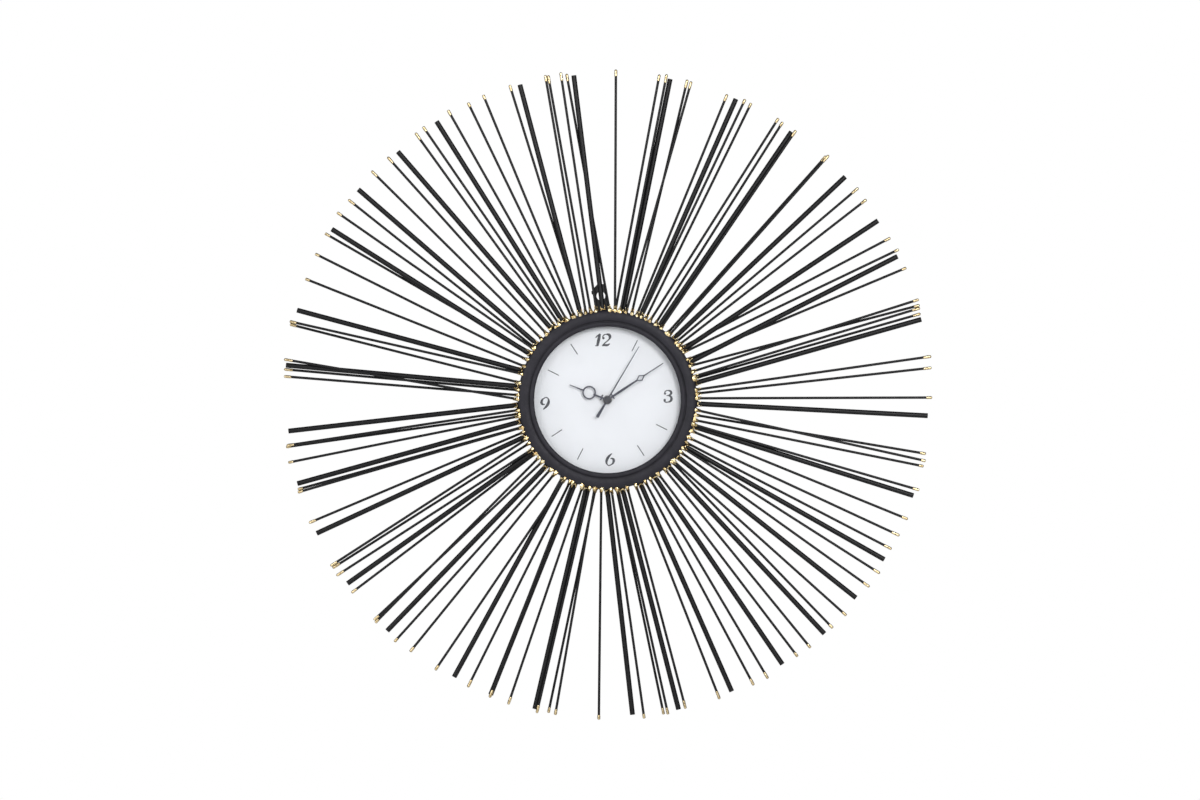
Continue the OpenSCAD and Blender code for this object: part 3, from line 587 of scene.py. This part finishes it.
def piece(name, mesh, look, stands_for=None):
    """Turns a finished bmesh into a smooth object that rides on the case."""
    data = bpy.data.meshes.new(name)
    mesh.to_mesh(data)
    mesh.free()
    for face in data.polygons:
        face.use_smooth = True
    data.materials.append(made[look])
    made_piece = in_scene(name, data)
    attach(made_piece, "case")
    if stands_for:
        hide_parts(stands_for)
    return made_piece


def add_ring(mesh, middle, side, other, radii):
    """Adds a ring of corners round a point, one for each radius, and returns them."""
    ring = []
    for step, radius in enumerate(radii):
        turn = 2 * math.pi * step / len(radii)
        way = side * math.cos(turn) + other * math.sin(turn)
        ring.append(mesh.verts.new(middle + way * radius))
    return ring


def add_skin(mesh, rings):
    """Joins rings of corners into a closed skin with flat ends."""
    for low, high in zip(rings, rings[1:]):
        for step in range(len(low)):
            after = (step + 1) % len(low)
            mesh.faces.new((low[step], low[after], high[after], high[step]))
    mesh.faces.new(reversed(rings[0]))
    mesh.faces.new(rings[-1])


def add_blob(mesh, middle, axes, radii, ripple, seed, detail=3):
    """Adds an uneven ellipsoid. axes are unit vectors, radii their lengths in metres."""
    made_blob = bmesh.ops.create_icosphere(mesh, subdivisions=detail, radius=1.0)
    shift = Vector((seed * 7.13, seed * 3.71, seed * 1.37))
    for vert in made_blob["verts"]:
        swell = 1 + ripple * noise.noise(vert.co * 1.6 + shift)
        local = vert.co * swell
        vert.co = middle + sum((axes[k] * (local[k] * radii[k]) for k in range(3)), Vector())


# ---- braze ----


def add_foot(mesh, bead, axes, out, bar_r, seed, chance):
    """A collar round a ray's foot, with a finger of filler along each side of the ray."""
    along, across, front = axes
    collar_l, collar_wall, collar_out = 2.3 * MM, 1.0 * MM, 0.6 * MM
    finger_r = 0.9 * MM
    collar = (collar_l, bar_r + collar_wall, bar_r + collar_wall)
    add_blob(mesh, bead + out * collar_out, axes, collar, 0.4, seed)
    for side in (-1, 1):
        reach = chance.uniform(1.6, 4.2) * MM
        middle = bead + along * (1.6 * MM + reach * 0.7)
        middle += across * (side * bar_r * 0.85) + front * (bar_r * 0.6)
        add_blob(mesh, middle, axes, (reach, finger_r, finger_r), 0.5, seed + side * 0.3, 2)


def add_climb(mesh, bead, across, out, seed, chance):
    """A run of filler up the drum's side from a foot, and a drop of two lobes that it ends in
    over the bezel's rim."""
    size = chance.uniform(0.7, 1.2)
    aside = across * chance.uniform(-0.9, 0.9) * MM
    axes = (out, FRONT.cross(out), FRONT)
    foot = (bead - HUB).dot(FRONT)
    height = abs(bead.y - BEZEL_LOW.y)
    steps = math.ceil(height / (2.4 * MM))
    for step in range(1, steps):
        share = step / steps
        radius = DRUM_R + (2.6 - 2.2 * share ** 2) * MM
        middle = HUB + out * radius + FRONT * (foot + share * height) + aside * share
        radii = (1.5 * MM, (1.3 + 1.0 * share) * size * MM, 2.1 * MM)
        add_blob(mesh, middle, axes, radii, 0.5, seed + share, 2)
    # Each lobe, in mm: how far its middle is behind the rim's front and inside the rim's edge,
    # and half its size outwards and round the rim
    for behind, inside, deep, wide in ((2.9, -1.4, 2.4, 1.9), (2.3, 0.6, 2.2, 2.7)):
        radius = DRUM_R - inside * MM
        middle = HUB + out * radius + FRONT * (foot + height - behind * MM) + aside
        radii = (deep * size * MM, wide * size * MM, 1.7 * MM)
        add_blob(mesh, middle, axes, radii, 0.6, seed + behind)


def braze_lumps(name, node, ray_node, bar_r, climbs, chance):
    """Filler melted round the feet of a layer of rays, in one skin."""
    feet = rays(ray_node)
    mesh = bmesh.new()
    for index, points in enumerate(solids(node)):
        bead = centre(points)
        axes = ray_frame(nearest(feet, bead, 0))
        spoke = bead - HUB
        out = (spoke - FRONT * spoke.dot(FRONT)).normalized()
        add_foot(mesh, bead, axes, out, bar_r, index + 1, chance)
        if climbs:
            add_climb(mesh, bead, axes[1], out, index + 1, chance)
    lumps = piece(name, mesh, "braze_metal", node)
    melt = lumps.modifiers.new("melt", "REMESH")
    melt.mode = "VOXEL"
    melt.voxel_size = 0.55 * MM
    melt.use_smooth_shade = True
    smooth = lumps.modifiers.new("smooth", "SMOOTH")
    smooth.factor = 0.5
    smooth.iterations = 2


# ---- tips, paint and cell ----


def gold_tips(name, node, ray_node, chance):
    """Dipped gold ends: nearly straight sleeves with a soft shoulder and a rounded end."""
    wires = rays(ray_node)
    mesh = bmesh.new()
    sides, stations = 16, 14
    least_r = 0.02 * MM
    for index, points in enumerate(solids(node)):
        ray = nearest(wires, centre(points), 1)
        along, across, front = ray_frame(ray)
        length = max((p - ray[1]).dot(along) for p in points)
        thick = max((p - ray[1] - along * (p - ray[1]).dot(along)).length for p in points)
        belly, blunt = chance.uniform(0.0, 0.09), chance.uniform(0.10, 0.2)
        rings = []
        for k in range(stations):
            share = k / (stations - 1)
            swell = 0.91 + belly * math.sin(math.pi * share)
            dome = math.sqrt(max(0.0, 1 - max(0.0, (share - 1 + blunt) / blunt) ** 2))
            radius = thick * swell * (0.12 + 0.88 * dome)
            radii = []
            for step in range(sides):
                turn = 2 * math.pi * step / sides
                way = across * math.cos(turn) + front * math.sin(turn)
                bump = 1 + 0.1 * noise.noise(way * 1.3 + Vector((index * 2.9, share * 2.5, 0)))
                radii.append(max(radius * bump, least_r))
            at = ray[1] + along * (share * length)
            rings.append(add_ring(mesh, at, across, front, radii))
        add_skin(mesh, rings)
    bmesh.ops.recalc_face_normals(mesh, faces=mesh.faces)
    piece(name, mesh, "champagne_gold", node)


def paint_drip(ray_node, right, up, length, thick):
    """A run of paint that dried on the wire nearest to a point so far right of the hands' axis
    and above it."""
    near = HUB + Vector((right, 0, up))
    ray = min(rays(ray_node), key=lambda wire: seat_on(wire, near)[1].length)
    seat, step = seat_on(ray, near)
    axes = ray_frame(ray)
    side = 1 if step.dot(axes[1]) > 0 else -1
    mesh = bmesh.new()
    middle = seat + axes[1] * (side * WIRE_R)
    add_blob(mesh, middle, axes, (length / 2, thick, thick), 0.4, 3)
    piece("paint_drips", mesh, "black_paint")


def cell():
    """The AA cell: sleeve with rolled ends, a sunk base and a nub."""
    low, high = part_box("battery")
    radius = (high.z - low.z) / 2
    length = high.x - low.x
    nub_l, nub_r, roll, middle_r = 1.2 * MM, 2.75 * MM, 0.6 * MM, 0.3 * MM
    nub_round = 0.3 * MM
    base_sunk, top_sunk = 0.25 * MM, 0.3 * MM
    body_l = length - nub_l
    quarter = [k * math.pi / 12 for k in range(7)]
    # Distance along the cell and radius, from the base to the nub
    profile = [(base_sunk, middle_r), (base_sunk, radius - 1.6 * MM), (0, radius - 1.4 * MM)]
    profile += [(roll * (1 - math.cos(a)), radius - roll * (1 - math.sin(a))) for a in quarter]
    profile += [
        (body_l - roll * (1 - math.sin(a)), radius - roll * (1 - math.cos(a))) for a in quarter
    ]
    profile += [
        (body_l, radius - 1.2 * MM), (body_l - top_sunk, radius - 1.3 * MM),
        (body_l - top_sunk, nub_r + nub_round), (body_l, nub_r), (length - nub_round, nub_r),
        (length, nub_r - nub_round), (length, middle_r),
    ]
    start = Vector((low.x, (low.y + high.y) / 2, (low.z + high.z) / 2))
    axis, side = Vector((1, 0, 0)), Vector((0, 0, 1))
    sides = 64
    mesh = bmesh.new()
    add_skin(mesh, [
        add_ring(mesh, start + axis * distance, side, axis.cross(side), [ring_r] * sides)
        for distance, ring_r in profile
    ])
    bmesh.ops.recalc_face_normals(mesh, faces=mesh.faces)
    made_cell = piece("cell", mesh, "cell_jacket", "battery")
    split = made_cell.modifiers.new("crisp", "EDGE_SPLIT")
    split.split_angle = math.radians(40)


# ---- stage ----


def floor():
    """A wide pale floor, well below the clock as it hangs on its wall."""
    half, drop = 5.8, 0.9
    height = cad_box[0].z - drop
    mesh = bmesh.new()
    corners = [(-half, -half), (half, -half), (half, half), (-half, half)]
    mesh.faces.new([mesh.verts.new((HUB.x + x, y, height)) for x, y in corners])
    data = bpy.data.meshes.new("floor")
    mesh.to_mesh(data)
    mesh.free()
    data.materials.append(pale_floor())
    in_scene("floor", data)


def white_room(ahead, astern):
    """A room that the camera sees as pure white. It lights the clock from the front, and from
    behind more weakly, so that round bars keep their dark edges."""
    world = bpy.data.worlds.new("white_room")
    bpy.context.scene.world = world
    look = Nodes(world)
    way = look.add("TexCoord").outputs["Generated"]
    depth = look.add("SeparateXYZ", {"Vector": way}).outputs["Y"]
    strength = look.add("MapRange", {
        "Value": depth, "From Min": -0.6, "From Max": 0.3, "To Min": ahead, "To Max": astern,
    }).outputs[0]
    glow = look.add("Background", {"Color": (0.98, 0.985, 1.0), "Strength": strength}).outputs[0]
    seen = look.add("Background", {"Color": (1.0, 1.0, 1.0)}).outputs[0]
    by_camera = look.add("LightPath").outputs["Is Camera Ray"]
    both = look.add("MixShader", {0: by_camera, 1: glow, 2: seen}).outputs[0]
    look.add("OutputWorld", {"Surface": both})


def softbox(name, offset, width, height, power):
    """A rectangular area light at an offset from the hands' axis, which it faces."""
    data = bpy.data.lights.new(name, "AREA")
    data.shape = "RECTANGLE"
    data.size = width
    data.size_y = height
    data.energy = power
    lamp = in_scene(name, data)
    lamp.location = HUB + Vector(offset)
    lamp.rotation_mode = "QUATERNION"
    lamp.rotation_quaternion = (-Vector(offset)).to_track_quat("-Z", "Z")


def lights():
    """Soft studio light: a key at the upper right, a weaker fill at the upper left, and a faint
    strip beside the camera."""
    softbox("key", (0.95, -2.8, 1.0), 1.2, 1.2, 56)
    softbox("fill", (-1.9, -2.3, 0.8), 1.4, 1.8, 38)
    softbox("card", (0.5, -4.2, 0.1), 0.5, 1.2, 2.6)


def camera():
    """A long lens straight in front of the dial, with the clock a little right of the middle."""
    distance = 4.0
    picture_w = 1.51            # width of the picture where the rays are
    aim = HUB + Vector((-9.3, 0, -0.2)) * MM
    data = bpy.data.cameras.new("camera")
    data.sensor_width = 36
    data.lens = data.sensor_width * distance / picture_w
    made_camera = in_scene("camera", data)
    made_camera.location = aim + FRONT * distance
    made_camera.rotation_euler = (math.radians(90), 0, 0)
    bpy.context.scene.camera = made_camera


# ---- the picture ----

dress_nodes()
chance = random.Random(12)
braze_lumps("front_braze_lumps", "front_braze", "front_wires", WIRE_R, True, chance)
braze_lumps("middle_braze_lumps", "middle_braze", "thick_rods", ROD_R, False, chance)
braze_lumps("rear_braze_lumps", "rear_braze", "rear_wires", WIRE_R, True, chance)
gold_tips("front_tips", "front_gold_tips", "front_wires", chance)
gold_tips("rear_tips", "rear_gold_tips", "rear_wires", chance)
paint_drip("front_wires", right=-20 * MM, up=133.8 * MM, length=5 * MM, thick=1.3 * MM)
cell()
floor()
white_room(ahead=0.35, astern=0.1)
lights()
camera()
bpy.context.scene.view_settings.view_transform = "Standard"
